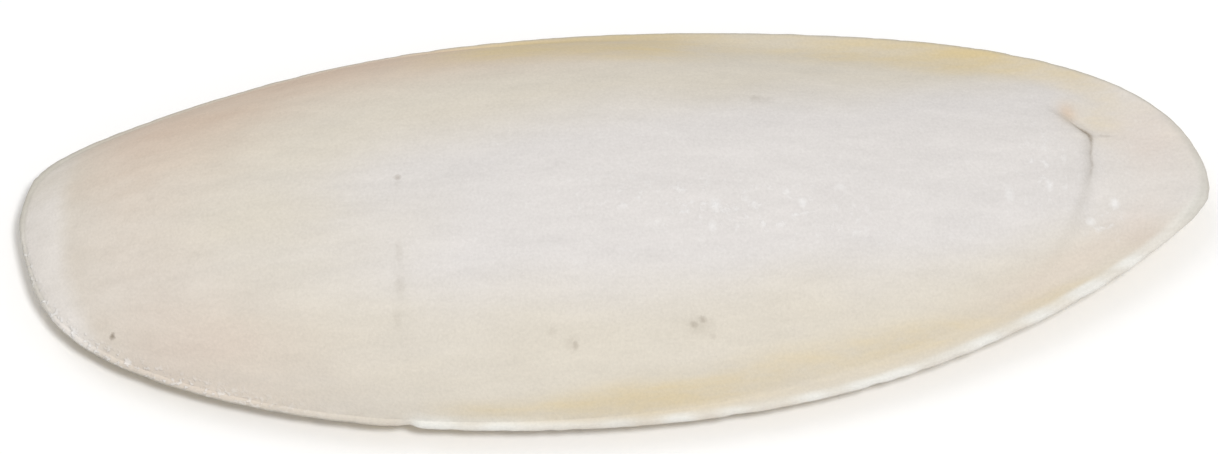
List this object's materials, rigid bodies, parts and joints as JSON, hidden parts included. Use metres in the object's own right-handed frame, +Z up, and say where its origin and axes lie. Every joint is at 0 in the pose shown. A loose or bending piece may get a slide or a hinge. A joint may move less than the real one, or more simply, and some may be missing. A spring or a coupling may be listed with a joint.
{
  "type": "cuttlebone",
  "caption": "Long oval chalky cuttlefish bone with a domed belly side, a thin amber-edged flange, a curved ledge near the tail and a shallow arched underside.",
  "frame": {"origin": "centre of the footprint, on the surface that the bone lies on", "axes": "+X runs along the bone from the blunt front to the tail, +Z is up, out of the belly side, and +Y points to the side away from the picture's camera"},
  "size_m": [0.16, 0.0606, 0.0185],
  "materials": {
    "chalk": "matte, chalky and finely porous, with thin amber horny margins"
  },
  "bodies": {
    "root": {"cuttlebone": "chalk"}
  },
  "joints": []
}
